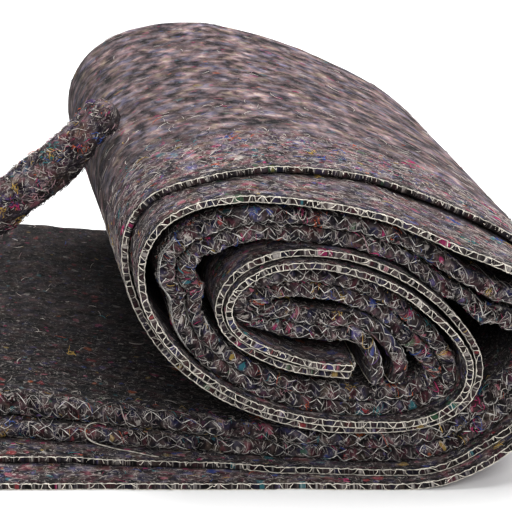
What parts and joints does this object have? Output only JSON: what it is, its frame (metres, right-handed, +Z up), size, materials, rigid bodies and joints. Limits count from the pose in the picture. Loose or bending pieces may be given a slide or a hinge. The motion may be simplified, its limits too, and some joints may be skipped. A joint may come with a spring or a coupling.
{
  "type": "moving blanket",
  "caption": "Recycled-felt moving blanket, folded lengthwise into a strip and rolled up at one end, with a loose twisted tie of the same felt lying on it.",
  "frame": {"origin": "bottom centre of the bounding box, on the surface it lies on", "axes": "+X along the folded strip towards the roll, +Y from the roll's front face to its back, +Z up"},
  "size_m": [0.6794, 0.2932, 0.1239],
  "materials": {
    "recycled_felt": "mottled grey-brown recycled fibre felt",
    "twisted_felt": "the same felt, twisted"
  },
  "bodies": {
    "root": {"blanket": "recycled_felt", "felt_tie": "twisted_felt"}
  },
  "joints": []
}
